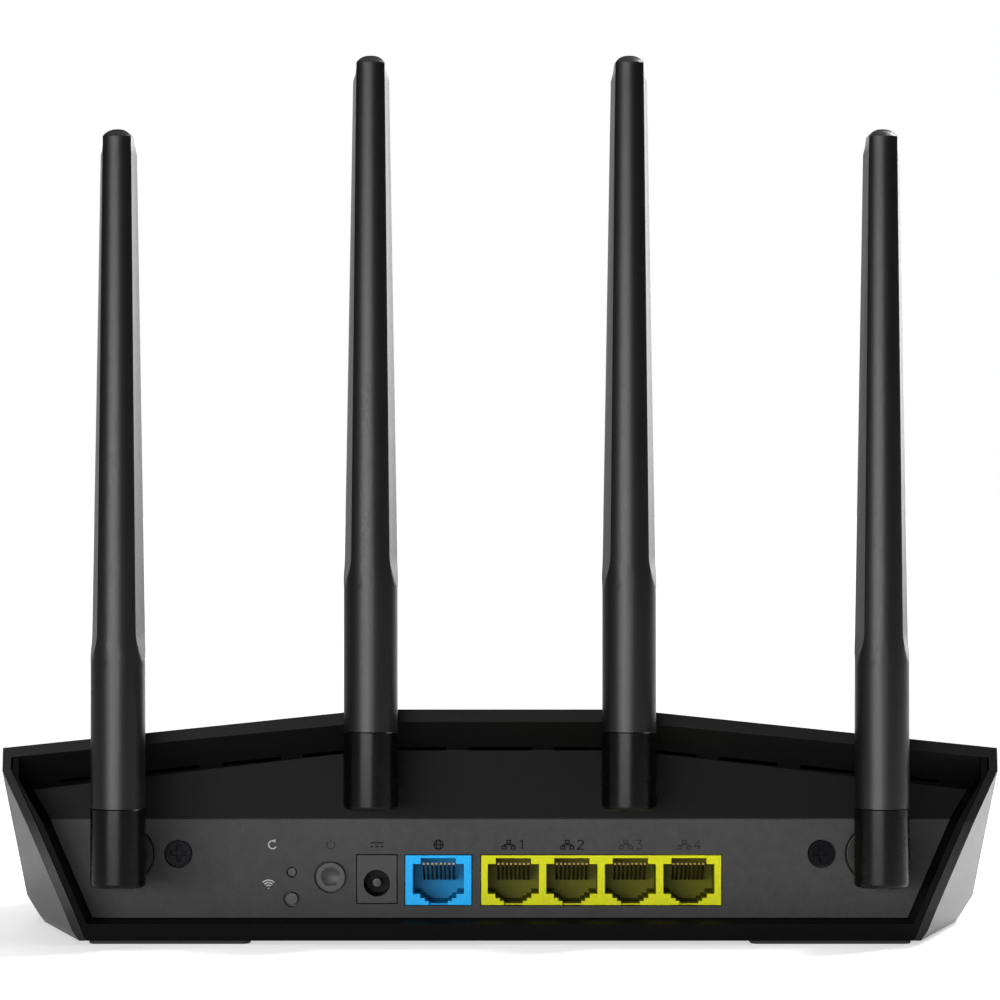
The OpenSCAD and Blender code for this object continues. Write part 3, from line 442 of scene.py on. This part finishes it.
def offset_line(points, half):
    """The two sides of a stroke along the points, with mitred corners."""
    left, right = [], []
    sharpest = 0.4          # keeps a mitre under 2.5 times the half width
    closed = (Vector(points[0]) - Vector(points[-1])).length < 1e-9
    count = len(points)
    for i, point in enumerate(points):
        here = Vector(point)
        before = points[i - 1] if i > 0 else (points[-2] if closed else None)
        after = points[i + 1] if i < count - 1 else (points[1] if closed else None)
        into = (here - Vector(before)).normalized() if before else None
        out = (Vector(after) - here).normalized() if after else None
        along = ((into or out) + (out or into)).normalized()
        reach = half / max(sharpest, along.dot(into or out))
        side = Vector((-along.y, along.x)) * reach
        left.append(here + side)
        right.append(here - side)
    return left, right


def pictogram(name, strokes, material, centre):
    """Raised ink on the panel's lower field. Strokes are lists of (x, z) in millimetres."""
    form = bmesh.new()
    centre_x, centre_z = centre

    def line_of_verts(side, y):
        return [form.verts.new((centre_x + p.x * mm, y, centre_z + p.y * mm)) for p in side]

    for points in strokes:
        sides = offset_line(points, STROKE_WIDTH / 2)
        rows = []
        for y in (panel_y, panel_y - INK_THICKNESS * mm):
            for side in sides:
                rows.append(line_of_verts(side, y))
        back_left, back_right, front_left, front_right = rows
        ring = (back_left, front_left, front_right, back_right)
        for i in range(len(points) - 1):
            for a, b in zip(ring, ring[1:] + ring[:1]):
                form.faces.new((a[i], b[i], b[i + 1], a[i + 1]))
        for i in (0, -1):
            form.faces.new([row[i] for row in ring])
    bmesh.ops.recalc_face_normals(form, faces=form.faces)
    mesh = bpy.data.meshes.new(name)
    form.to_mesh(mesh)
    form.free()
    return add_object(name, mesh, material, "casing")


def middle(node):
    low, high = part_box(node)
    return (low + high) / 2


reset_marks = [arc((0, 0), 0.95, 50, 330), [(0.01, 0.78), (0.61, 0.73), (0.45, 1.31)]]
radio_marks = [arc((0, -0.9), radius, 45, 135) for radius in (0.75, 1.35, 1.95)]
radio_marks.append([(-0.14, -0.9), (0.14, -0.9)])
power_marks = [arc((0, 0), 0.95, 125, 415), [(0, 0.25), (0, 1.3)]]
current_marks = [[(x, -0.45), (x + 0.72, -0.45)] for x in (-1.6, -0.36, 0.88)]
current_marks.insert(0, [(-1.6, 0.45), (1.6, 0.45)])
globe_marks = [arc((0, 0), 1.1, 0, 360, 28), arc((0, 0), 1.1, 0, 360, 28, 0.45), [(-1.1, 0), (1.1, 0)]]
network_marks = [
    [(-0.45, 0.35), (0.45, 0.35), (0.45, 1.05), (-0.45, 1.05), (-0.45, 0.35)],
    [(-1.55, -1.05), (-0.65, -1.05), (-0.65, -0.35), (-1.55, -0.35), (-1.55, -1.05)],
    [(0.65, -1.05), (1.55, -1.05), (1.55, -0.35), (0.65, -0.35), (0.65, -1.05)],
    [(0, 0.35), (0, 0)], [(-1.1, -0.35), (-1.1, 0), (1.1, 0), (1.1, -0.35)],
]
DIGITS = (
    [(-0.35, 0.75), (0.1, 1.05), (0.1, -1.05)],
    [(-0.7, 0.75), (-0.4, 1.05), (0.4, 1.05), (0.7, 0.75), (0.7, 0.35), (-0.7, -1.05), (0.75, -1.05)],
    [(-0.65, 1.05), (0.65, 1.05), (-0.05, 0.25), (0.45, 0.2),
     (0.7, -0.15), (0.7, -0.7), (0.35, -1.05), (-0.65, -1.05)],
    [(0.35, -1.05), (0.35, 1.05), (-0.75, -0.4), (0.75, -0.4)],
)
mark_z = 22.5 * mm              # the row of marks over the connectors
pairing_mark_z = 13.0 * mm
reset_x = middle("reset_button").x
pictogram("mark_reset", reset_marks, INK_PALE, (reset_x - 4.6 * mm, mark_z))
pictogram("mark_pairing", radio_marks, INK_PALE, (reset_x - 5.6 * mm, pairing_mark_z))
pictogram("mark_power", power_marks, INK_FAINT, (middle("power_button").x, mark_z))
pictogram("mark_current", current_marks, INK_BLACK, (middle("power_inlet").x, mark_z))
pictogram("mark_globe", globe_marks, INK_BLACK, (middle("wan_port").x, mark_z))
lan_low, lan_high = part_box("lan_ports")
lan_side = 0.7 * mm             # the block's wall beyond its first and last sockets
lan_pitch = (lan_high.x - lan_low.x - 2 * lan_side) / len(DIGITS)
dark_marks = 2                  # the marks of the other sockets are faint
for i, digit in enumerate(DIGITS):
    socket_x = lan_low.x + lan_side + (i + 0.5) * lan_pitch
    mark_ink = INK_BLACK if i < dark_marks else INK_FAINT
    pictogram("mark_network_%d" % (i + 1), network_marks, mark_ink, (socket_x - 1.1 * mm, mark_z))
    pictogram("mark_number_%d" % (i + 1), [digit], mark_ink, (socket_x + 2.0 * mm, mark_z))


# --- Stage -------------------------------------------------------------------

def softbox(name, place, target, size, radiance, spread=180):
    """A soft rectangular light, out of the camera's sight, of a given radiance."""
    data = bpy.data.lights.new(name, "AREA")
    data.shape = "RECTANGLE"
    data.size, data.size_y = size
    data.energy = radiance * math.pi * size[0] * size[1]
    data.spread = math.radians(spread)
    light = bpy.data.objects.new(name, data)
    light.location = place
    light.rotation_euler = (Vector(target) - Vector(place)).to_track_quat("-Z", "Y").to_euler()
    light.visible_camera = False
    bpy.context.scene.collection.objects.link(light)
    return light


FLOOR_REACH = 25.0
FLOOR_GLOW = ((-0.5, 0.35), (-0.2, 0.55), (0.5, 0.6), (1.5, 0.95))     # (y, strength)


def make_stage():
    """A pale floor. Its own glow, stronger behind the object, keeps it white to the camera."""
    reach = FLOOR_REACH
    corners = [(-reach, -reach, 0), (reach, -reach, 0), (reach, reach, 0), (-reach, reach, 0)]
    mesh = bpy.data.meshes.new("floor")
    mesh.from_pydata(corners, [], [(0, 1, 2, 3)])
    floor = bpy.data.objects.new("floor", mesh)
    bpy.context.scene.collection.objects.link(floor)
    material, tree, shader = new_material("floor_paper")
    paper = ramp(tree, noise(tree, 3, 2.0), [(0.3, 0.86), (0.7, 0.88)])
    tree.links.new(paper, shader.inputs["Base Color"])
    shader.inputs["Roughness"].default_value = 0.9
    shader.inputs["Specular IOR Level"].default_value = 0.1
    shader.inputs["Emission Color"].default_value = (1, 1, 1, 1)
    axes = split_axes(tree, position(tree))
    near = FLOOR_GLOW[0][0]
    depth = FLOOR_GLOW[-1][0] - near
    along = remap(tree, axes["Y"], near, near + depth, 0.0, 1.0)
    glow = ramp(tree, along, [((y - near) / depth, strength) for y, strength in FLOOR_GLOW])
    # Beside a wedge that widens away from the camera, the glow halves.
    beside = math_node(tree, "ABSOLUTE", axes["X"], 0)
    beside = math_node(tree, "SUBTRACT", beside, math_node(tree, "MULTIPLY", axes["Y"], 0.15))
    wedge = remap(tree, beside, 0.22, 0.42, 1.0, 0.5)
    tree.links.new(math_node(tree, "MULTIPLY", glow, wedge), shader.inputs["Emission Strength"])
    mesh.materials.append(material)


def make_world():
    """White to the camera. To the object it is bright behind, most at the right, and dim elsewhere."""
    world = bpy.data.worlds.new("studio")
    world.use_nodes = True
    tree = world.node_tree
    background = tree.nodes["Background"]
    axes = split_axes(tree, tree.nodes.new("ShaderNodeTexCoord").outputs["Generated"])
    behind = remap(tree, axes["Y"], 0.45, 0.8, 0.0, 2.2)
    to_the_right = remap(tree, axes["X"], -0.35, 0.35, 0.5, 2.4)
    near_horizon = remap(tree, axes["Z"], 0.1, 0.4, 1.0, 0.05)
    behind = math_node(tree, "MULTIPLY", behind, to_the_right)
    behind = math_node(tree, "MULTIPLY", behind, near_horizon)
    above = remap(tree, axes["Z"], 0.3, 1.0, 0.01, 0.2)
    glow = math_node(tree, "MAXIMUM", behind, above)
    seen = tree.nodes.new("ShaderNodeLightPath").outputs["Is Camera Ray"]
    glow = math_node(tree, "MULTIPLY", glow, math_node(tree, "SUBTRACT", 1, seen))
    tree.links.new(math_node(tree, "MAXIMUM", glow, seen), background.inputs["Strength"])
    background.inputs["Color"].default_value = (1, 1, 1, 1)
    bpy.context.scene.world = world


def make_camera():
    """Level, 1 m in front of the casing's rim."""
    distance = 1.0
    height = 0.1048
    data = bpy.data.cameras.new("camera")
    data.sensor_width = 36
    data.lens = 152.9           # the casing just fills the width
    data.clip_end = 80
    camera = bpy.data.objects.new("camera", data)
    camera.location = (0, rim_y - distance, height)
    camera.rotation_euler = (math.radians(90), 0, 0)
    bpy.context.scene.collection.objects.link(camera)
    bpy.context.scene.camera = camera


make_stage()
make_world()
make_camera()
bpy.context.scene.view_settings.view_transform = "Standard"
softbox("left_front", (-0.50, -1.46, 0.12), (0, rim_y, 0.09), (1.2, 0.25), 28.0)
softbox("overhead", (0, 0.1, 1.7), (0, 0, 0), (1.8, 1.8), 0.8)
softbox("right_pool", (0.50, 0.30, 0.80), (0.24, 0.10, 0), (0.3, 0.3), 9.5, 55)
